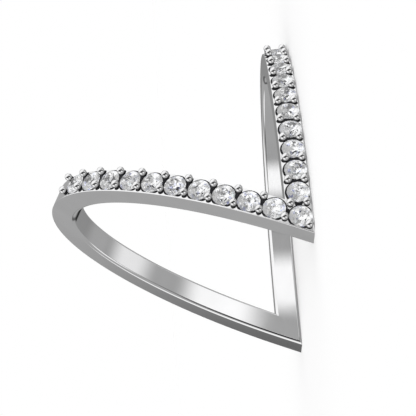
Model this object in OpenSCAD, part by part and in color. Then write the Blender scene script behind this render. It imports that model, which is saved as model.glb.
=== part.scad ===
// Chevron ring: a deep V of polished white metal with a row of round brilliants.
// The ring lies on the outer flank of its right half, as it rests by itself.
// X runs from the fold to the far side of the right half, -Y is the stone side, Z is up.
// The origin is the middle of the ring's outline, on the surface that it lies on.

/* [Finger hole] */
// Diameter of the round finger hole, seen along the finger
finger_d = 16.9; // [14:0.1:22]

/* [Band] */
// Width of the band, from flank to flank
band_w = 1.78; // [1.74:0.02:3]
// Thickness of the band, from the finger hole to its outer surface
band_t = 1.8; // [1.4:0.05:3]
// Angle between the two flat halves of the ring
fold_angle = 66.5; // [50:0.5:100]

/* [Stones] */
// Diameter of each round brilliant
stone_d = 1.6; // [1.4:0.02:1.7]
// Height of the girdle's upper edge above the outer surface of the band
girdle_rise = 0.12; // [0.05:0.01:0.3]
// Shift of the stones towards the outer flanks
stone_shift = 0.06; // [0:0.01:0.1]
// Clearance between a stone and the metal of its seat
seat_gap = 0.02; // [0.01:0.01:0.05]

/* [Prongs] */
// Distance between neighbouring prongs along an arm, and so between stones
prong_pitch = 1.84; // [1.8:0.02:2]
// Distance between the inner and the outer row of prongs
row_gap = 1.13; // [1:0.01:1.16]
// Distance of the first pair of prongs on each arm from the fold
first_prong = 0.9; // [0.88:0.01:1.1]
// Diameter of the round tip of a prong
ball_d = 0.54; // [0.4:0.02:0.6]
// Height of the centre of a round tip above the outer surface of the band
ball_rise = 0.4; // [0.3:0.02:0.6]
// Diameter of the shank of a prong
shank_d = 0.42; // [0.3:0.02:0.5]
// Depth to which a shank is sunk into the band
shank_root = 0.3; // [0.1:0.05:0.6]

/* [Hidden] */
arm_stones = 10;
function two(k) = str(k < 10 ? "0" : "", k);

// Each flat half of the ring follows half-ellipses. Seen along the finger they look round.
half_angle = fold_angle / 2;
finger_r = finger_d / 2;
hole_reach = (finger_r + band_w / 2 * cos(half_angle)) / sin(half_angle);
outer_reach = hole_reach + band_t;
outer_rise = finger_r + band_t;
outline_steps = 72;

// Length that reaches past the whole ring, for blocks that are cut back to it
past_ring = 3 * outer_reach;

// Place of the frame's origin in the plane of the right half
tip_reach = band_w / 2 / tan(half_angle);
origin_x = (outer_reach - tip_reach) / 2;
origin_y = -(ball_rise + ball_d / 2) / 2;

// Sides of the round forms where they are drawn as flats
prong_sides = 32;
seat_sides = 48;

// Cut of a round brilliant, as shares of its diameter
table_share = 0.56;
star_share = 0.76;
crown_share = 0.15;
girdle_share = 0.03;
pavilion_share = 0.43;
lower_share = 0.22;
facet_sides = 8;

// Point on a half-ellipse at angle t from the fold, as reach along the arm and rise towards the stones
function on_ellipse(reach, rise, t) = [reach * sin(t), rise * cos(t)];

// The round tips follow this ellipse. The table pairs the length along it with the angle.
tip_path_reach = outer_reach + ball_rise;
tip_path_rise = outer_rise + ball_rise;
path_step = 0.5;
path_end = 90;
function path_point(t) = on_ellipse(tip_path_reach, tip_path_rise, t);
path_table = [
    for (t = 0, run = 0; t <= path_end;
         run = run + norm(path_point(t + path_step) - path_point(t)), t = t + path_step)
        [run, t]
];
function angle_at(run) = lookup(run, path_table);
// Angle by which the band's outward direction leans from the top towards the far side
function lean_at(t) = atan2(sin(t) / tip_path_reach, cos(t) / tip_path_rise);

// Moves children from a stone's or prong's own frame, +Z outward, to the right half.
// run is the length along the arm, side is the distance towards the outer flank,
// and sink is the depth below the path of the round tips.
module on_arm(run, side, sink) {
    t = angle_at(run);
    p = path_point(t);
    lean = lean_at(t);
    translate([p[0] - sink * sin(lean), -(p[1] - sink * cos(lean)), band_w / 2 - side])
        rotate([0, 0, lean]) rotate([90, 0, 0]) children();
}

// The same for a place on the fold: side runs along the finger towards the point of the V
module on_fold(side, sink) {
    translate([-side * cos(half_angle), -(tip_path_rise - sink), band_w / 2 - side * sin(half_angle)])
        rotate([0, -half_angle, 0]) rotate([90, 0, 0]) children();
}

// Mirrors children from the right half to the left half
module to_left() {
    translate([0, 0, band_w / 2])
        mirror([sin(half_angle), 0, -cos(half_angle)])
            translate([0, 0, -band_w / 2]) children();
}

// Puts the finished ring on the frame's origin
module placed() {
    translate([-origin_x, -origin_y, 0]) children();
}

// Outline of the right half in its own plane: a half-ellipse, and straight on beyond the fold
module half_outline(reach, rise) {
    polygon(concat(
        [for (i = [0 : outline_steps])
            let (p = on_ellipse(reach, rise, 180 * i / outline_steps)) [p[0], -p[1]]],
        [[-past_ring, rise], [-past_ring, -rise]]
    ));
}

// Prism that reaches through both halves, upright on the plane of the right half
module half_prism(reach, rise) {
    translate([0, 0, band_w / 2])
        linear_extrude(height = past_ring, center = true)
            half_outline(reach, rise);
}

// What the prisms of both halves share, which bends at the mitre of the fold by itself
module folded_prism(reach, rise) {
    intersection() {
        half_prism(reach, rise);
        to_left() half_prism(reach, rise);
    }
}

// The two flanks of each arm, as a V that is drawn through the whole ring
module fold_block() {
    left_x = past_ring * cos(fold_angle);
    left_z = past_ring * sin(fold_angle);
    rotate([90, 0, 0])
        linear_extrude(height = past_ring, center = true)
            polygon([
                [-tip_reach, 0],
                [past_ring, 0],
                [past_ring, band_w],
                [tip_reach, band_w],
                [tip_reach + left_x, band_w + left_z],
                [-tip_reach + left_x, left_z]
            ]);
}

// Band without its prongs
module band_body() {
    difference() {
        intersection() {
            fold_block();
            folded_prism(outer_reach, outer_rise);
        }
        folded_prism(hole_reach, finger_r);
    }
}

// Prong: a shank with a round tip at the frame's origin
module prong() {
    sphere(d = ball_d, $fn = prong_sides);
    translate([0, 0, -ball_rise - shank_root])
        cylinder(h = ball_rise + shank_root, d = shank_d, $fn = prong_sides);
}

// Both rows of prongs of the right arm. The first inner one is the corner prong of the V.
module arm_prongs() {
    for (k = [0 : arm_stones]) {
        on_arm(first_prong + k * prong_pitch, row_gap / 2, 0) prong();
        if (k > 0) on_arm(first_prong + k * prong_pitch, -row_gap / 2, 0) prong();
    }
}

// Prongs on the fold: one at the point of the V and one in its inner corner
module fold_prongs() {
    for (end = [-1, 1]) on_fold(end * row_gap / 2 / sin(half_angle), 0) prong();
}

// Depth of the stones' own frame, the upper edge of the girdle, below the path of the round tips
stone_sink = ball_rise - girdle_rise;

// Room for a stone: its turned outline with a clearance all round
module seat() {
    r = stone_d / 2 + seat_gap;
    rotate_extrude($fn = seat_sides)
        polygon([
            [0, -(girdle_share + pavilion_share) * stone_d - 2 * seat_gap],
            [r, -girdle_share * stone_d - seat_gap / 2],
            [r, seat_gap / 2],
            [table_share * stone_d / 2 + seat_gap, crown_share * stone_d + seat_gap],
            [0, crown_share * stone_d + seat_gap]
        ]);
}

module place_arm_stone(k) {
    on_arm(first_prong + (k - 0.5) * prong_pitch, stone_shift, stone_sink) children();
}

module place_tip_stone() {
    on_fold(stone_shift / sin(half_angle), stone_sink) children();
}

// Points of one ring of a brilliant's corners
function corner_ring(r, z, turn) =
    [for (k = [0 : facet_sides - 1]) let (a = (k + turn) * 360 / facet_sides) [r * cos(a), r * sin(a), z]];

// Round brilliant: table, 8 stars, 8 bezels, 16 upper halves, girdle, 16 lower halves, 8 mains.
// Its frame is at the centre of the girdle's upper edge.
module brilliant() {
    r = stone_d / 2;
    crown_h = crown_share * stone_d;
    girdle_h = girdle_share * stone_d;
    culet_z = -(girdle_share + pavilion_share) * stone_d;
    table_r = table_share * r;
    star_r = star_share * r;
    lower_r = lower_share * r;
    half_turn = cos(180 / facet_sides);
    star_z = crown_h * (r - star_r * half_turn) / (r - table_r);
    lower_z = culet_z + (-girdle_h - culet_z) * lower_r * half_turn / r;
    n = facet_sides;
    corners = concat(
        corner_ring(table_r, crown_h, 0),
        corner_ring(star_r, star_z, 0.5),
        corner_ring(r, 0, 0), corner_ring(r, 0, 0.5),
        corner_ring(r, -girdle_h, 0), corner_ring(r, -girdle_h, 0.5),
        corner_ring(lower_r, lower_z, 0.5),
        [[0, 0, culet_z]]
    );
    table = 0;
    star = n;
    top_main = 2 * n;
    top_half = 3 * n;
    low_main = 4 * n;
    low_half = 5 * n;
    lower = 6 * n;
    culet = 7 * n;
    faces = concat(
        [[for (k = [n - 1 : -1 : 0]) table + k]],
        [for (k = [0 : n - 1]) let (j = (k + 1) % n, i = (k + n - 1) % n) each [
            [table + k, table + j, star + k],
            [table + k, star + k, top_main + k, star + i],
            [star + k, top_half + k, top_main + k],
            [star + k, top_main + j, top_half + k],
            [top_main + k, top_half + k, low_half + k, low_main + k],
            [top_half + k, top_main + j, low_main + j, low_half + k],
            [low_main + k, low_half + k, lower + k],
            [low_half + k, low_main + j, lower + k],
            [low_main + k, lower + k, culet, lower + i]
        ]]
    );
    polyhedron(points = corners, faces = faces);
}

module band() {
    color("gainsboro") placed() difference() {
        union() {
            band_body();
            arm_prongs();
            to_left() arm_prongs();
            fold_prongs();
        }
        for (k = [1 : arm_stones]) {
            place_arm_stone(k) seat();
            to_left() place_arm_stone(k) seat();
        }
        place_tip_stone() seat();
    }
}

module stone_tip() {
    color("aliceblue") placed() place_tip_stone() brilliant();
}

module stone_right(k) {
    color("aliceblue") placed() place_arm_stone(k) brilliant();
}

module stone_left(k) {
    color("aliceblue") placed() to_left() place_arm_stone(k) brilliant();
}

band();
stone_tip();
for (k = [1 : arm_stones]) stone_left(k);
for (k = [1 : arm_stones]) stone_right(k);
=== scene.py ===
import math

import bmesh
import bpy
from mathutils import Matrix, Vector


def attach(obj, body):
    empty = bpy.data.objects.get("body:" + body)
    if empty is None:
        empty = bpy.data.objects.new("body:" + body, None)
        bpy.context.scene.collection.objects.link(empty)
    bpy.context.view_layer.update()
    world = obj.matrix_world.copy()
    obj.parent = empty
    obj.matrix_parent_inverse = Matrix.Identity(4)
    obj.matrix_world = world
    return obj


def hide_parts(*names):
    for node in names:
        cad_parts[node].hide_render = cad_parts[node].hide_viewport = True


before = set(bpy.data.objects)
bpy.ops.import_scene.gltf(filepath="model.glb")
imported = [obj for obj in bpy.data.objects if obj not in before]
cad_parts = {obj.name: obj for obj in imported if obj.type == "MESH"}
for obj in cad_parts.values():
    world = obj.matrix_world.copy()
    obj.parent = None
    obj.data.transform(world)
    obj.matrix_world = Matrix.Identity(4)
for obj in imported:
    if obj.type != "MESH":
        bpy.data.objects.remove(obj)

# Chevron ring: a deep V of polished white metal with one row of round brilliants.
# Lengths are named in millimetres, as on the maker's drawing, and turned into metres when a
# mesh is made. The ring lies on the outer flank of its right half, with the stones towards -Y.
MM = 0.001

# Band
FINGER_D = 16.9
BAND_W = 1.78
BAND_T = 1.8
FOLD_ANGLE = math.radians(66.5)

# Edges of the band. The inner ones are softened almost to chamfers.
INNER_ROUND_SIDE = 0.18
INNER_ROUND_RISE = 0.2
INNER_ROUND_POWER = 1.6
OUTER_ROUND = 0.05

# Steps of the band's mesh. The margin is how close a line runs to each edge, so that the face
# stays flat up to it. The mitre run is how far the steps beside a mitre reach along the arm.
INNER_ROUND_STEPS = 6
OUTER_ROUND_STEPS = 2
FLANK_STEPS = 5
FACE_STEPS = 8
FACE_MARGIN = 0.015
ARM_STEPS = 156
MITRE_STEPS = 4
MITRE_RUN = 1.75
PATH_STEP = math.radians(0.25)
SHARP_ANGLE = math.radians(32)
FLAT_FACE_WEIGHT = 80

# Stones and prongs
ARM_STONES = 10
STONE_D = 1.6
STONE_SHIFT = 0.06
GIRDLE_RISE = 0.12
PRONG_PITCH = 1.84
ROW_GAP = 1.13
FIRST_PRONG = 0.9
BALL_D = 0.54
BALL_RISE = 0.4
SHANK_D = 0.42
SHANK_ROOT = 0.45
PRONG_SIDES = 32
BALL_STEPS = 14

# Cut of a brilliant, as shares of its diameter
TABLE_SHARE = 0.56
CROWN_SHARE = 0.15
BELOW_SHARE = 0.46

# Seats, which are opened below the girdle so that the stones sit in wells made dark by painted
# shade.
# Heights are measured from the upper edge of the girdle.
SEAT_SIDES = 48
SEAT_GAP = 0.02
WELL_R = 0.915
WELL_TOP = -0.062
WELL_STEP = 0.008
WELL_FLOOR = -0.42
WELL_OUTER_RIM = 0.07
WELL_INNER_RIM = 0.025
FUNNEL_R = 0.42
FUNNEL_DROP = 0.02
CULET_HOLE_R = 0.12
CULET_HOLE_DROP = 0.1

# Holes and saw cuts between the stones, whose walls carry painted shade. Each tool starts a
# little above the metal.
TOOL_TOP = 0.1
DRILL_D = 0.5
DRILL_DEPTH = 0.4
DRILL_SIDES = 24
SLOT_W = 0.4
SLOT_DEPTH = 0.35
SLOT_SIDES = 32
SLOT_OUTER_RIM = 0.045
SLOT_INNER_RIM = 0.025

# Marks of polishing: the span that a noise's values mostly keep to, and what it turns into.
# A ramp's stops are pairs of a value and a colour.
NOISE_SPAN = (0.3, 0.7)
CLOUD_SCALE = 420.0
MARK_HEIGHT = 0.00001
POLISH_ROUGHNESS = (0.045, 0.075)
POLISH_COLOURS = [(0.3, (0.80, 0.80, 0.805, 1)), (0.7, (0.86, 0.86, 0.865, 1))]
# Inside the seats, holes and cuts and on the prong shanks: rougher metal whose near-black
# colours are painted shade.
RECESS_ROUGHNESS = (0.4, 0.6)
RECESS_PAINTED_SHADE_COLOURS = [(0.3, (0.012, 0.012, 0.014, 1)), (0.75, (0.05, 0.05, 0.055, 1))]

# Cells of a brilliant's surface, per metre, how far their facets lean and their colours, which
# are painted fire: tints standing in for dispersed light
CELL_SCALE = 6000.0
CELL_TILT = 0.2
GLASS_IOR = 2.42
PAINTED_FIRE_COLOURS = [
    (0.0, (0.30, 0.34, 0.85, 1)),
    (0.07, (0.72, 0.77, 0.98, 1)),
    (0.2, (0.94, 0.955, 0.985, 1)),
    (0.5, (0.97, 0.975, 0.99, 1)),
    (0.85, (0.95, 0.96, 0.98, 1)),
    (0.95, (0.98, 0.95, 0.88, 1)),
    (1.0, (0.74, 0.90, 0.96, 1)),
]

# Light that the stones gather, as patches of these colours in all directions
GATHERED_SCALE = 9.0
GATHERED_COLOURS = [
    (0.34, (0.02, 0.025, 0.04, 1)),
    (0.43, (0.32, 0.36, 0.44, 1)),
    (0.50, (1.10, 1.12, 1.20, 1)),
    (0.57, (0.70, 0.72, 0.84, 1)),
    (0.63, (1.20, 1.22, 1.26, 1)),
    (0.72, (0.20, 0.23, 0.30, 1)),
]

# Floor and lamp
FLOOR_HALF = 2.0
FLOOR_TONE = 0.93
LAMP_WIDTH = math.radians(50)
LAMP_ENERGY = 1.0

# Studio that the metal mirrors. The stones' side of the ring, -Y, is overhead in it.
# A place is how far a direction points along an axis, from -1 to 1.
OVERHEAD = (0, -1, 0)
OVERHEAD_FADE = (0.10, 0.30)
LEVEL = (0, 0, 1)
STRIP_ACROSS = (0.788, -0.170, 0.592)
STRIP_ALONG = (0.568, -0.170, -0.805)
BACKDROP = (1.0, 1.0, 1.0, 1.0)
PANEL_TONE = 1.15
GROUND_TONE = 0.42
DARK_TONE = 0.03
DIM_TONE = 0.15

# Round patches of the room: direction, the angles from it in degrees between which the patch
# fades out, and tone. The first three are white walls, the others are grey and dark.
ROOM_PATCHES = [
    (STRIP_ACROSS, 54, 65, 1.1),
    ((-0.76, -0.28, -0.58), 14, 26, 1.1),
    ((-0.80, 0.25, 0.53), 24, 34, 1.1),
    ((-0.33, -0.40, -0.85), 6, 17, 0.12),
    ((0.1, 0.68, -0.72), 18, 42, 0.30),
    ((0.68, 0.64, 0.36), 14, 34, 0.42),
    ((0.0, 1.0, 0.0), 22.3, 27.5, 0.12),
    ((0.0, 1.0, 0.0), 11, 20, 0.42),
    ((0.467, 0.884, 0.0), 5, 11, 0.26),
    ((0.31, 0.89, -0.34), 5, 10, 0.03),
    ((0.467, -0.35, -0.81), 10, 18, 0.03),
]

# A window is two limits and their softness. An edge is its slope and the places between which
# it rises. The near panel's fade is two places and the strength at each.
NEAR_SLOPE = 0.13
NEAR_WINDOW = (-0.33, -0.10, 0.07)
NEAR_FADE = (0.0, 0.8, 1.0, 0.7)
FAR_LOWER_EDGE = (0.4, 0.25, 0.36)
FAR_UPPER_EDGE = (0.5, 0.62, 0.52)
DIM_ACROSS = (-0.75, -0.05, 0.05)
DIM_ALONG = (0.45, 0.66, 0.05)
GAP_WIDE = (-0.50, 0.25, 0.05)
GAP_NARROW = (-0.07, 0.06, 0.04)
GAP_NARROW_LEVELS = (-0.10, -0.045, 0.01)
GAP_START_EDGE = (1.0, -1.11, -0.99)
GAP_END_EDGE = (2.0, 1.22, 0.98)

# Camera: place in millimetres, two axes, lens and sensor, and clipping in metres
CAMERA_PLACE = (-61.548, -112.072, 10.393)
CAMERA_RIGHT = (-0.06799, 0.00303, -0.99768)
CAMERA_UP = (0.88173, -0.46773, -0.06150)
CAMERA_LENS = 148.0
CAMERA_SENSOR = 36.0
CAMERA_CLIP = (0.001, 20.0)

# Sizes that follow from the ones above
HALF_ANGLE = FOLD_ANGLE / 2
FINGER_R = FINGER_D / 2
HOLE_REACH = (FINGER_R + BAND_W / 2 * math.cos(HALF_ANGLE)) / math.sin(HALF_ANGLE)
OUTER_REACH = HOLE_REACH + BAND_T
OUTER_RISE = FINGER_R + BAND_T
TIP_REACH = BAND_W / 2 / math.tan(HALF_ANGLE)
ORIGIN_X = (OUTER_REACH - TIP_REACH) / 2
ORIGIN_Y = -(BALL_RISE + BALL_D / 2) / 2
TIP_PATH_REACH = OUTER_REACH + BALL_RISE
TIP_PATH_RISE = OUTER_RISE + BALL_RISE


# Places on the ring

def to_frame(p):
    """Point of the ring in millimetres, as a point of the shared frame in metres."""
    return Vector(((p[0] - ORIGIN_X) * MM, (p[1] - ORIGIN_Y) * MM, p[2] * MM))


def to_left(p):
    """Mirror of a point of the right half, in the mitre plane of the fold."""
    n = Vector((math.sin(HALF_ANGLE), 0, -math.cos(HALF_ANGLE)))
    d = Vector(p) - Vector((0, 0, BAND_W / 2))
    return Vector(p) - 2 * d.dot(n) * n


def tip_path_point(t):
    """Point of the ellipse of the round tips, as reach along the arm and rise."""
    return Vector((TIP_PATH_REACH * math.sin(t), TIP_PATH_RISE * math.cos(t)))


def angle_at(run):
    """Angle on the ellipse of the round tips at a length along it from the fold."""
    t = 0.0
    done = 0.0
    here = tip_path_point(t)
    while True:
        after = tip_path_point(t + PATH_STEP)
        length = (after - here).length
        if done + length >= run:
            return t + PATH_STEP * (run - done) / length
        done += length
        t += PATH_STEP
        here = after


def arm_place(run, side, sink):
    """Matrix from a stone's own frame, +Z outward, to a place on the right arm."""
    t = angle_at(run)
    lean = math.atan2(math.sin(t) / TIP_PATH_REACH, math.cos(t) / TIP_PATH_RISE)
    x = TIP_PATH_REACH * math.sin(t) - sink * math.sin(lean)
    y = -(TIP_PATH_RISE * math.cos(t) - sink * math.cos(lean))
    spot = Matrix.Translation((x, y, BAND_W / 2 - side))
    return spot @ Matrix.Rotation(lean, 4, "Z") @ Matrix.Rotation(math.pi / 2, 4, "X")


def fold_place(side, sink):
    """Matrix to a place on the fold. Side runs along the finger towards the point of the V."""
    x = -side * math.cos(HALF_ANGLE)
    z = BAND_W / 2 - side * math.sin(HALF_ANGLE)
    spot = Matrix.Translation((x, -(TIP_PATH_RISE - sink), z))
    return spot @ Matrix.Rotation(-HALF_ANGLE, 4, "Y") @ Matrix.Rotation(math.pi / 2, 4, "X")


def stone_places():
    """Each stone's matrix, and whether it is mirrored to the left arm."""
    sink = BALL_RISE - GIRDLE_RISE
    places = [(fold_place(STONE_SHIFT / math.sin(HALF_ANGLE), sink), False)]
    for k in range(1, ARM_STONES + 1):
        place = arm_place(FIRST_PRONG + (k - 0.5) * PRONG_PITCH, STONE_SHIFT, sink)
        places += [(place, False), (place, True)]
    return places


def prong_places():
    """Each prong's matrix, and whether it is mirrored to the left arm."""
    places = []
    for k in range(ARM_STONES + 1):
        run = FIRST_PRONG + k * PRONG_PITCH
        outer = arm_place(run, ROW_GAP / 2, 0)
        places += [(outer, False), (outer, True)]
        if k > 0:
            inner = arm_place(run, -ROW_GAP / 2, 0)
            places += [(inner, False), (inner, True)]
    reach = ROW_GAP / 2 / math.sin(HALF_ANGLE)
    places += [(fold_place(-reach, 0), False), (fold_place(reach, 0), False)]
    return places


def between_places(first, last):
    """Places between neighbouring stones, and whether they are mirrored to the left arm."""
    places = []
    for k in range(first, last + 1):
        spot = arm_place(FIRST_PRONG + k * PRONG_PITCH, 0.0, BALL_RISE)
        places += [(spot, False), (spot, True)]
    return places


# Mesh helpers

def new_object(name, mesh):
    """Object of a mesh, linked to the scene."""
    obj = bpy.data.objects.new(name, mesh)
    bpy.context.scene.collection.objects.link(obj)
    return obj


def mesh_of(name, points, faces, tone=None):
    """Mesh from points in the ring's millimetres. Tone gives each face its material slot."""
    mesh = bpy.data.meshes.new(name)
    mesh.from_pydata([to_frame(p) for p in points], [], faces)
    bm = bmesh.new()
    bm.from_mesh(mesh)
    if tone:
        for face, slot in zip(bm.faces, tone):
            face.material_index = slot
    bmesh.ops.recalc_face_normals(bm, faces=bm.faces)
    bm.to_mesh(mesh)
    bm.free()
    return mesh


def lathe(rings, sides, squeeze=None):
    """Points and faces of a turned form. A ring is (radius, height, slot of the faces above)."""
    points = []
    faces = []
    tone = []
    for radius, height, _ in rings:
        for i in range(sides):
            a = 2 * math.pi * i / sides
            p = (radius * math.cos(a), radius * math.sin(a), height)
            points.append(squeeze(p) if squeeze else p)
    for row in range(len(rings) - 1):
        for i in range(sides):
            j = (i + 1) % sides
            a = row * sides
            faces.append((a + i, a + j, a + sides + j, a + sides + i))
            tone.append(rings[row][2])
    faces.append(tuple(reversed(range(sides))))
    tone.append(rings[0][2])
    last = (len(rings) - 1) * sides
    faces.append(tuple(last + i for i in range(sides)))
    tone.append(rings[-1][2])
    return points, faces, tone


def repeat(name, form, places):
    """One mesh that holds a form at each place, mirrored where the place says so."""
    all_points = []
    all_faces = []
    all_tones = []
    form_points, form_faces, form_tone = form
    for place, mirrored in places:
        start = len(all_points)
        for p in form_points:
            q = place @ Vector(p)
            all_points.append(to_left(q) if mirrored else q)
        all_faces += [tuple(start + i for i in face) for face in form_faces]
        all_tones += form_tone
    return mesh_of(name, all_points, all_faces, all_tones)


def cut(piece, tool_mesh, operation):
    """Joins a tool's mesh to the piece or takes it away, and keeps the result as the mesh."""
    tool = new_object(tool_mesh.name, tool_mesh)
    for material in piece.data.materials:
        tool.data.materials.append(material)
    step = piece.modifiers.new(operation.lower(), "BOOLEAN")
    step.operation = operation
    step.solver = "MANIFOLD"
    step.object = tool
    keep_result(piece)
    bpy.data.objects.remove(tool)


def keep_result(piece):
    """Puts what the modifiers make into the piece's own mesh."""
    graph = bpy.context.evaluated_depsgraph_get()
    made = bpy.data.meshes.new_from_object(piece.evaluated_get(graph), depsgraph=graph)
    piece.modifiers.clear()
    piece.data = made


# Band

def flattened(share, power):
    """A sine or cosine that is drawn towards a chamfer: power 1 is round and 2 is flat."""
    return math.copysign(abs(share) ** power, share)


def round_corner(side, height, reach, rise, turn, steps, power=1.0):
    """Arc of the band's outline from one face to the next, as (side, height) pairs."""
    arc = []
    for i in range(steps + 1):
        a = turn + math.pi / 2 * i / steps
        out = reach * flattened(math.cos(a), power)
        up = rise * flattened(math.sin(a), power)
        arc.append((side + out, height + up))
    return arc


def between(a, b, steps):
    """Points between two places on the outline, with one close to each of the two."""
    close = FACE_MARGIN / math.dist(a, b)
    shares = [close] + [i / steps for i in range(1, steps)] + [1 - close]
    return [(a[0] + (b[0] - a[0]) * share, a[1] + (b[1] - a[1]) * share) for share in shares]


def band_outline():
    """Cross-section of the band: side runs to the outer flank, height from the hole outward."""
    edge = BAND_W / 2
    outer = OUTER_ROUND
    top = BAND_T - outer
    side = edge - INNER_ROUND_SIDE
    rise = INNER_ROUND_RISE
    inner = (INNER_ROUND_SIDE, rise)
    form = (INNER_ROUND_STEPS, INNER_ROUND_POWER)
    corners = [
        round_corner(edge - outer, top, outer, outer, 0.0, OUTER_ROUND_STEPS),
        round_corner(outer - edge, top, outer, outer, math.pi / 2, OUTER_ROUND_STEPS),
        round_corner(-side, rise, *inner, math.pi, *form),
        round_corner(side, rise, *inner, 3 * math.pi / 2, *form),
    ]
    steps = [FACE_STEPS, FLANK_STEPS, FACE_STEPS, FLANK_STEPS]
    outline = []
    for i, corner in enumerate(corners):
        outline += corner
        outline += between(corner[-1], corners[(i + 1) % 4][0], steps[i])
    return outline


def on_half(x, side, height, bottom):
    """Point of the right half at x, on its stone side or on its bottom."""
    reach = HOLE_REACH + height
    rise = FINGER_R + height
    y = rise * math.sqrt(max(0.0, 1 - (max(x, 0.0) / reach) ** 2))
    return Vector((x, y if bottom else -y, BAND_W / 2 - side))


def half_line(side, height):
    """Line along the right half from the top mitre round to the bottom one."""
    mitre_x = -side / math.tan(HALF_ANGLE)
    reach = HOLE_REACH + height
    rise = FINGER_R + height
    lead = [
        mitre_x + (MITRE_RUN - mitre_x) * i / MITRE_STEPS for i in range(MITRE_STEPS)
    ]
    first = math.asin(MITRE_RUN / reach)
    line = [on_half(x, side, height, False) for x in lead]
    for i in range(ARM_STEPS + 1):
        t = first + (math.pi - 2 * first) * i / ARM_STEPS
        line.append(Vector((reach * math.sin(t), -rise * math.cos(t), BAND_W / 2 - side)))
    line += [on_half(x, side, height, True) for x in reversed(lead)]
    return line


def band_mesh():
    """Both halves of the band as one closed loop that is sharp at the mitres."""
    outline = band_outline()
    lines = [half_line(side, height) for side, height in outline]
    half = len(lines[0])
    stations = []
    for i in range(half):
        stations.append([line[i] for line in lines])
    for i in range(half - 2, 0, -1):
        stations.append([to_left(line[i]) for line in lines])
    count = len(stations)
    width = len(outline)
    points = [p for station in stations for p in station]
    faces = []
    for i in range(count):
        after = (i + 1) % count
        for j in range(width):
            k = (j + 1) % width
            faces.append((i * width + j, i * width + k, after * width + k, after * width + j))
    return mesh_of("band_polished", points, faces)


def prong_form():
    """Prong with a round tip in one turned form: the ball's top, its waist and the shank, which
    carries painted shade.
    """
    ball = BALL_D / 2
    shank = SHANK_D / 2
    waist = -math.sqrt(ball ** 2 - shank ** 2)
    # Slot 1 paints shade on the shank below the ball.
    rings = [(shank, -BALL_RISE - SHANK_ROOT, 1), (shank, waist, 0)]
    start = math.asin(waist / ball)
    for i in range(1, BALL_STEPS):
        a = start + (math.pi / 2 - start) * i / BALL_STEPS
        rings.append((ball * math.cos(a), ball * math.sin(a), 0))
    return lathe(rings, PRONG_SIDES)


def in_well(p):
    """Whether a point belongs to the well's wall, which stays inside the band's rims."""
    return WELL_FLOOR - FUNNEL_DROP / 2 < p[2] < WELL_TOP + WELL_STEP / 2


def arm_rims(p):
    """Keeps an arm's well inside the rims along both flanks."""
    outer = STONE_SHIFT + WELL_OUTER_RIM - BAND_W / 2
    inner = STONE_SHIFT - WELL_INNER_RIM + BAND_W / 2
    if in_well(p):
        return (p[0], max(outer, min(inner, p[1])), p[2])
    return p


def tip_rims(p):
    """Keeps the tip's well inside the two outer flanks that meet at the point."""
    if not in_well(p):
        return p
    limit = BAND_W / 2 - STONE_SHIFT - WELL_OUTER_RIM
    spot = Vector(p)
    for side in (-1, 1):
        normal = Vector((-math.sin(HALF_ANGLE), side * math.cos(HALF_ANGLE), 0))
        spot -= max(0.0, spot.dot(normal) - limit) * normal
    return tuple(spot)


def seat_form(keep_rims):
    """Room for a stone: the crown's cone, the girdle, and the well below it, whose walls carry
    painted shade.
    """
    r = STONE_D / 2 + SEAT_GAP
    depth = -BELOW_SHARE * STONE_D - 2 * SEAT_GAP
    crown = CROWN_SHARE * STONE_D + SEAT_GAP
    table = TABLE_SHARE * STONE_D / 2 + SEAT_GAP
    rings = [
        # Slot 1 gives the well, funnel and culet hole painted shade.
        (CULET_HOLE_R, depth - CULET_HOLE_DROP, 1),
        (FUNNEL_R, WELL_FLOOR - FUNNEL_DROP, 1),
        (WELL_R, WELL_FLOOR, 1),
        (WELL_R, WELL_TOP, 1),
        (r, WELL_TOP + WELL_STEP, 1),
        (r, SEAT_GAP / 2, 0),
        (table, crown, 0),
    ]
    return lathe(rings, SEAT_SIDES, keep_rims)


def drill_form():
    """Round hole between the stone at the point and the first one of an arm, with painted shade
    on its walls.
    """
    r = DRILL_D / 2
    return lathe([(r, -DRILL_DEPTH, 1), (r, TOOL_TOP, 1)], DRILL_SIDES)


def slot_form():
    """Saw cut across the band between two stones, with round ends inside the rims and painted
    shade on its walls.
    """
    outer = SLOT_OUTER_RIM - BAND_W / 2
    inner = BAND_W / 2 - SLOT_INNER_RIM

    def stretch(p):
        """Point of the unit circle, moved to the outline of the cut."""
        along_arm = max(-SLOT_W / 2, min(SLOT_W / 2, p[0] * SLOT_W))
        return (along_arm, (outer + inner) / 2 + p[1] * (inner - outer) / 2, p[2])

    return lathe([(1.0, -SLOT_DEPTH, 1), (1.0, TOOL_TOP, 1)], SLOT_SIDES, stretch)


def build_band(metal, recess):
    """Polished band with its prongs, seats and wells, which replaces the plain CAD band."""
    piece = new_object("band_polished", band_mesh())
    piece.data.materials.append(metal)
    # The second slot holds the painted shade for the seats, wells, holes, cuts and prong shanks.
    piece.data.materials.append(recess)
    cut(piece, repeat("slots", slot_form(), between_places(1, ARM_STONES - 1)), "DIFFERENCE")
    cut(piece, repeat("drill_holes", drill_form(), between_places(0, 0)), "DIFFERENCE")
    cut(piece, repeat("prongs", prong_form(), prong_places()), "UNION")
    places = stone_places()
    cut(piece, repeat("tip_seat", seat_form(tip_rims), places[:1]), "DIFFERENCE")
    cut(piece, repeat("arm_seats", seat_form(arm_rims), places[1:]), "DIFFERENCE")
    piece.data.name = "band_polished"
    piece.data.shade_smooth()
    piece.data.set_sharp_from_angle(angle=SHARP_ANGLE)
    soft = piece.modifiers.new("even_faces", "WEIGHTED_NORMAL")
    soft.keep_sharp = True
    soft.weight = FLAT_FACE_WEIGHT
    # The metal mirrors the studio only, not the ring itself
    piece.visible_glossy = False
    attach(piece, "root")
    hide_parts("band")
    return piece


# Materials

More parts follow.
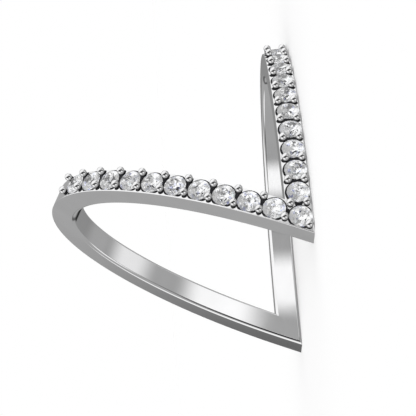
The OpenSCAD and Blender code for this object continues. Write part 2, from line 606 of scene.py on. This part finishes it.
def node(tree, kind, **values):
    """Node with its plain settings."""
    made = tree.nodes.new(kind)
    for name, value in values.items():
        setattr(made, name, value)
    return made


def new_material(name):
    """Material with an empty tree, its Principled shader and its output."""
    material = bpy.data.materials.new(name)
    material.use_nodes = True
    tree = material.node_tree
    tree.nodes.clear()
    shader = node(tree, "ShaderNodeBsdfPrincipled")
    out = node(tree, "ShaderNodeOutputMaterial")
    tree.links.new(shader.outputs["BSDF"], out.inputs["Surface"])
    return material, tree, shader


def polish_marks():
    """Group: faint hairlines and clouding that polishing leaves, as masks and a normal."""
    group = bpy.data.node_groups.new("polish_marks", "ShaderNodeTree")
    face = group.interface
    face.new_socket("Line Scale", in_out="INPUT", socket_type="NodeSocketFloat")
    face.new_socket("Depth", in_out="INPUT", socket_type="NodeSocketFloat")
    face.new_socket("Cloud", in_out="OUTPUT", socket_type="NodeSocketFloat")
    face.new_socket("Lines", in_out="OUTPUT", socket_type="NodeSocketFloat")
    face.new_socket("Normal", in_out="OUTPUT", socket_type="NodeSocketVector")
    given = node(group, "NodeGroupInput")
    result = node(group, "NodeGroupOutput")
    place = node(group, "ShaderNodeTexCoord")
    cloud = node(group, "ShaderNodeTexNoise")
    cloud.inputs["Scale"].default_value = CLOUD_SCALE
    cloud.inputs["Detail"].default_value = 3.0
    stretch = node(group, "ShaderNodeMapping")
    stretch.inputs["Scale"].default_value = (0.12, 0.25, 1.0)
    hair = node(group, "ShaderNodeTexNoise")
    hair.inputs["Detail"].default_value = 4.0
    hair.inputs["Roughness"].default_value = 0.65
    bump = node(group, "ShaderNodeBump")
    bump.inputs["Distance"].default_value = MARK_HEIGHT
    links = group.links
    links.new(place.outputs["Object"], cloud.inputs["Vector"])
    links.new(place.outputs["Object"], stretch.inputs["Vector"])
    links.new(stretch.outputs["Vector"], hair.inputs["Vector"])
    links.new(given.outputs["Line Scale"], hair.inputs["Scale"])
    links.new(given.outputs["Depth"], bump.inputs["Strength"])
    links.new(hair.outputs["Fac"], bump.inputs["Height"])
    links.new(cloud.outputs["Fac"], result.inputs["Cloud"])
    links.new(hair.outputs["Fac"], result.inputs["Lines"])
    links.new(bump.outputs["Normal"], result.inputs["Normal"])
    return group


def add_marks(tree, group, line_scale, depth):
    """Places the polish group in a material with its own values."""
    marks = node(tree, "ShaderNodeGroup", node_tree=group)
    marks.inputs["Line Scale"].default_value = line_scale
    marks.inputs["Depth"].default_value = depth
    return marks


def ramp(tree, source, stops):
    """Colour ramp fed by a value. Each stop is (place, colour)."""
    made = node(tree, "ShaderNodeValToRGB")
    band = made.color_ramp
    band.elements[0].position, band.elements[0].color = stops[0]
    band.elements[1].position, band.elements[1].color = stops[-1]
    for place, colour in stops[1:-1]:
        band.elements.new(place).color = colour
    tree.links.new(source, made.inputs["Fac"])
    return made.outputs["Color"]


def map_range(tree, source, from_low, from_high, to_low, to_high):
    """Value moved from one range to another, and kept inside it."""
    made = node(tree, "ShaderNodeMapRange")
    made.inputs["From Min"].default_value = from_low
    made.inputs["From Max"].default_value = from_high
    made.inputs["To Min"].default_value = to_low
    made.inputs["To Max"].default_value = to_high
    tree.links.new(source, made.inputs["Value"])
    return made.outputs["Result"]


def white_gold(marks_group):
    """Polished white gold: near-mirror, with faint clouding and hairlines."""
    material, tree, shader = new_material("white_gold_polished")
    marks = add_marks(tree, marks_group, line_scale=9000.0, depth=0.015)
    colour = ramp(tree, marks.outputs["Cloud"], POLISH_COLOURS)
    rough = map_range(tree, marks.outputs["Lines"], *NOISE_SPAN, *POLISH_ROUGHNESS)
    shader.inputs["Metallic"].default_value = 1.0
    tree.links.new(colour, shader.inputs["Base Color"])
    tree.links.new(rough, shader.inputs["Roughness"])
    tree.links.new(marks.outputs["Normal"], shader.inputs["Normal"])
    return material


def seat_painted_shade(marks_group):
    """Metal inside the seats, holes and cuts and on the prong shanks: coarser and unpolished,
    with painted shade in its near-black colour.
    """
    material, tree, shader = new_material("seat_painted_shade_dark")
    marks = add_marks(tree, marks_group, line_scale=16000.0, depth=0.3)
    # Painted shade: the near-black colour stands in for the shade in the recesses.
    colour = ramp(tree, marks.outputs["Lines"], RECESS_PAINTED_SHADE_COLOURS)
    rough = map_range(tree, marks.outputs["Cloud"], *NOISE_SPAN, *RECESS_ROUGHNESS)
    shader.inputs["Metallic"].default_value = 1.0
    tree.links.new(colour, shader.inputs["Base Color"])
    tree.links.new(rough, shader.inputs["Roughness"])
    tree.links.new(marks.outputs["Normal"], shader.inputs["Normal"])
    return material


def tilted(tree, colour, amount):
    """Normal that leans a little, its own way in each cell of a pattern."""
    lean = node(tree, "ShaderNodeVectorMath", operation="MULTIPLY_ADD")
    tree.links.new(colour, lean.inputs[0])
    lean.inputs[1].default_value = (2 * amount, 2 * amount, 2 * amount)
    lean.inputs[2].default_value = (-amount, -amount, -amount)
    total = node(tree, "ShaderNodeVectorMath", operation="ADD")
    tree.links.new(node(tree, "ShaderNodeNewGeometry").outputs["Normal"], total.inputs[0])
    tree.links.new(lean.outputs[0], total.inputs[1])
    unit = node(tree, "ShaderNodeVectorMath", operation="NORMALIZE")
    tree.links.new(total.outputs[0], unit.inputs[0])
    return unit.outputs[0]


def brilliant_glass():
    """Clear brilliant: strong refraction, with painted fire: pale blue, violet and yellow tints
    in cells of its colour.
    """
    material, tree, shader = new_material("brilliant_clear")
    place = node(tree, "ShaderNodeTexCoord")
    cells = node(tree, "ShaderNodeTexVoronoi")
    cells.inputs["Scale"].default_value = CELL_SCALE
    tree.links.new(place.outputs["Object"], cells.inputs["Vector"])
    tree.links.new(tilted(tree, cells.outputs["Color"], CELL_TILT), shader.inputs["Normal"])
    split = node(tree, "ShaderNodeSeparateColor")
    tree.links.new(cells.outputs["Color"], split.inputs["Color"])
    # Painted fire: the cells' tints in the colour stand in for light split into colours.
    fire = ramp(tree, split.outputs["Red"], PAINTED_FIRE_COLOURS)
    shader.inputs["Metallic"].default_value = 0.0
    shader.inputs["Roughness"].default_value = 0.0
    shader.inputs["IOR"].default_value = GLASS_IOR
    shader.inputs["Transmission Weight"].default_value = 1.0
    tree.links.new(fire, shader.inputs["Base Color"])
    return material


def dress_stones(glass):
    """Gives every stone of the CAD model the brilliant's material. The metal mirrors none."""
    for name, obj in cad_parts.items():
        if name.startswith("stone_"):
            obj.data.materials.clear()
            obj.data.materials.append(glass)
            obj.visible_glossy = False


# Floor, light and camera

def build_floor():
    """Plain pale floor, which the metal doesn't mirror."""
    mesh = bpy.data.meshes.new("floor")
    half = FLOOR_HALF
    corners = [(-half, -half, 0), (half, -half, 0), (half, half, 0), (-half, half, 0)]
    mesh.from_pydata(corners, [], [(0, 1, 2, 3)])
    floor = new_object("floor", mesh)
    material, tree, shader = new_material("floor_pale")
    shader.inputs["Base Color"].default_value = (FLOOR_TONE, FLOOR_TONE, FLOOR_TONE, 1)
    shader.inputs["Roughness"].default_value = 0.9
    shader.inputs["Specular IOR Level"].default_value = 0.0
    mesh.materials.append(material)
    floor.visible_glossy = False
    floor.visible_transmission = False


def along(tree, direction, axis):
    """How far a direction points along an axis, from -1 to 1."""
    dot = node(tree, "ShaderNodeVectorMath", operation="DOT_PRODUCT")
    tree.links.new(direction, dot.inputs[0])
    dot.inputs[1].default_value = Vector(axis).normalized()
    return dot.outputs["Value"]


def smooth_step(tree, source, low, high):
    """Soft step of a value between two limits."""
    made = node(tree, "ShaderNodeMapRange", interpolation_type="SMOOTHSTEP")
    made.inputs["From Min"].default_value = low
    made.inputs["From Max"].default_value = high
    tree.links.new(source, made.inputs["Value"])
    return made.outputs["Result"]


def shown(sockets, name):
    """Socket of that name which the node's own setting shows."""
    return next(x for x in sockets if x.name == name and x.enabled)


def blend_tones(tree, mask, low, high):
    """Grey between two tones by a mask. Each tone is a number or a socket."""
    made = node(tree, "ShaderNodeMix", data_type="FLOAT")
    tree.links.new(mask, shown(made.inputs, "Factor"))
    for name, tone in (("A", low), ("B", high)):
        if isinstance(tone, (int, float)):
            shown(made.inputs, name).default_value = tone
        else:
            tree.links.new(tone, shown(made.inputs, name))
    return shown(made.outputs, "Result")


def blend_colours(tree, mask, low, high):
    """Colour between two colours by a mask. Each colour is four numbers or a socket."""
    made = node(tree, "ShaderNodeMix", data_type="RGBA")
    tree.links.new(mask, shown(made.inputs, "Factor"))
    for name, colour in (("A", low), ("B", high)):
        if isinstance(colour, tuple):
            shown(made.inputs, name).default_value = colour
        else:
            tree.links.new(colour, shown(made.inputs, name))
    return shown(made.outputs, "Result")


def multiply(tree, a, b):
    """Product of two values."""
    made = node(tree, "ShaderNodeMath", operation="MULTIPLY")
    tree.links.new(a, made.inputs[0])
    tree.links.new(b, made.inputs[1])
    return made.outputs[0]


def window(tree, source, low, high, soft):
    """Mask that is one between two limits and fades out softly beyond them."""
    up = smooth_step(tree, source, low - soft, low + soft)
    down = smooth_step(tree, source, high + soft, high - soft)
    return multiply(tree, up, down)


def cap(tree, where, axis, inside, outside):
    """Round soft mask about a direction, between two angles from it in degrees."""
    near = math.cos(math.radians(inside))
    far = math.cos(math.radians(outside))
    return smooth_step(tree, along(tree, where, axis), far, near)


def slanted(tree, across, length, slope):
    """Place across the strip, corrected for a panel that isn't parallel to it."""
    made = node(tree, "ShaderNodeMath", operation="MULTIPLY_ADD")
    tree.links.new(length, made.inputs[0])
    made.inputs[1].default_value = slope
    tree.links.new(across, made.inputs[2])
    return made.outputs[0]


def slanted_edge(tree, across, length, slope, begin, end):
    """Soft edge of a panel that isn't parallel to the strip."""
    return smooth_step(tree, slanted(tree, across, length, slope), begin, end)


def room_tone(tree, where):
    """Grey room with its white, grey and dark patches."""
    tone = GROUND_TONE
    for axis, inside, outside, bright in ROOM_PATCHES:
        tone = blend_tones(tree, cap(tree, where, axis, inside, outside), tone, bright)
    return tone


def near_panel(tree, across, length):
    """Mask of the light panel on the near side of the gap, weaker towards one end."""
    panel = window(tree, slanted(tree, across, length, NEAR_SLOPE), *NEAR_WINDOW)
    return multiply(tree, panel, map_range(tree, length, *NEAR_FADE))


def far_panel(tree, across, length):
    """Mask of the light panel on the far side of the gap."""
    lower = slanted_edge(tree, across, length, *FAR_LOWER_EDGE)
    upper = slanted_edge(tree, across, length, *FAR_UPPER_EDGE)
    return multiply(tree, lower, upper)


def dim_part(tree, across, length):
    """Mask of the part of the near panel that is dimmed."""
    return multiply(tree, window(tree, across, *DIM_ACROSS), window(tree, length, *DIM_ALONG))


def dark_gap(tree, where, across, length):
    """Mask of the dark gap: narrow at the levels that the band's inside mirrors, wide beyond."""
    narrow_levels = window(tree, along(tree, where, LEVEL), *GAP_NARROW_LEVELS)
    wide = window(tree, across, *GAP_WIDE)
    narrow = window(tree, across, *GAP_NARROW)
    gap = blend_tones(tree, narrow_levels, wide, narrow)
    start = slanted_edge(tree, across, length, *GAP_START_EDGE)
    end = slanted_edge(tree, across, length, *GAP_END_EDGE)
    return multiply(tree, gap, multiply(tree, start, end))


def studio_tone(tree, where):
    """Grey room with white walls, two light panels over the ring and a dark gap between."""
    across = along(tree, where, STRIP_ACROSS)
    length = along(tree, where, STRIP_ALONG)
    overhead = smooth_step(tree, along(tree, where, OVERHEAD), *OVERHEAD_FADE)
    parts = [
        (near_panel(tree, across, length), PANEL_TONE),
        (far_panel(tree, across, length), PANEL_TONE),
        (dim_part(tree, across, length), DIM_TONE),
        (dark_gap(tree, where, across, length), DARK_TONE),
    ]
    tone = room_tone(tree, where)
    for mask, bright in parts:
        tone = blend_tones(tree, multiply(tree, mask, overhead), tone, bright)
    return tone


def stone_light(tree, where):
    """What the stones gather: bright and uneven, with a cool tint."""
    patches = node(tree, "ShaderNodeTexNoise")
    patches.inputs["Scale"].default_value = GATHERED_SCALE
    patches.inputs["Detail"].default_value = 2.0
    tree.links.new(where, patches.inputs["Vector"])
    return ramp(tree, patches.outputs["Fac"], GATHERED_COLOURS)


def build_studio():
    """Studio that the metal mirrors, a paler one for the stones and a white backdrop."""
    world = bpy.data.worlds.new("studio")
    bpy.context.scene.world = world
    world.use_nodes = True
    tree = world.node_tree
    tree.nodes.clear()
    where = node(tree, "ShaderNodeTexCoord").outputs["Generated"]
    path = node(tree, "ShaderNodeLightPath")
    inside = path.outputs["Is Transmission Ray"]
    colour = blend_colours(tree, inside, studio_tone(tree, where), stone_light(tree, where))
    colour = blend_colours(tree, path.outputs["Is Camera Ray"], colour, BACKDROP)
    light = node(tree, "ShaderNodeBackground")
    tree.links.new(colour, light.inputs["Color"])
    out = node(tree, "ShaderNodeOutputWorld")
    tree.links.new(light.outputs[0], out.inputs["Surface"])


def build_floor_light():
    """Wide soft light above the floor, which the polished metal doesn't mirror."""
    lamp = bpy.data.lights.new("floor_light", "SUN")
    lamp.angle = LAMP_WIDTH
    lamp.energy = LAMP_ENERGY
    obj = bpy.data.objects.new("floor_light", lamp)
    obj.visible_glossy = False
    obj.visible_transmission = False
    bpy.context.scene.collection.objects.link(obj)


def build_camera():
    """Camera at the photograph's angle, turned on its side because the ring lies down."""
    right = Vector(CAMERA_RIGHT).normalized()
    back = right.cross(Vector(CAMERA_UP)).normalized()
    up = back.cross(right)
    turn = Matrix((right, up, back)).transposed().to_4x4()
    data = bpy.data.cameras.new("camera")
    data.lens = CAMERA_LENS
    data.sensor_width = CAMERA_SENSOR
    data.clip_start, data.clip_end = CAMERA_CLIP
    camera = bpy.data.objects.new("camera", data)
    camera.matrix_world = Matrix.Translation([v * MM for v in CAMERA_PLACE]) @ turn
    bpy.context.scene.collection.objects.link(camera)
    bpy.context.scene.camera = camera


# Making

def main():
    """Builds the picture's scene."""
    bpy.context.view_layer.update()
    build_camera()
    build_floor()
    build_studio()
    build_floor_light()
    marks_group = polish_marks()
    build_band(white_gold(marks_group), seat_painted_shade(marks_group))
    dress_stones(brilliant_glass())
    bpy.context.scene.view_settings.view_transform = "Standard"
    bpy.context.view_layer.update()


main()
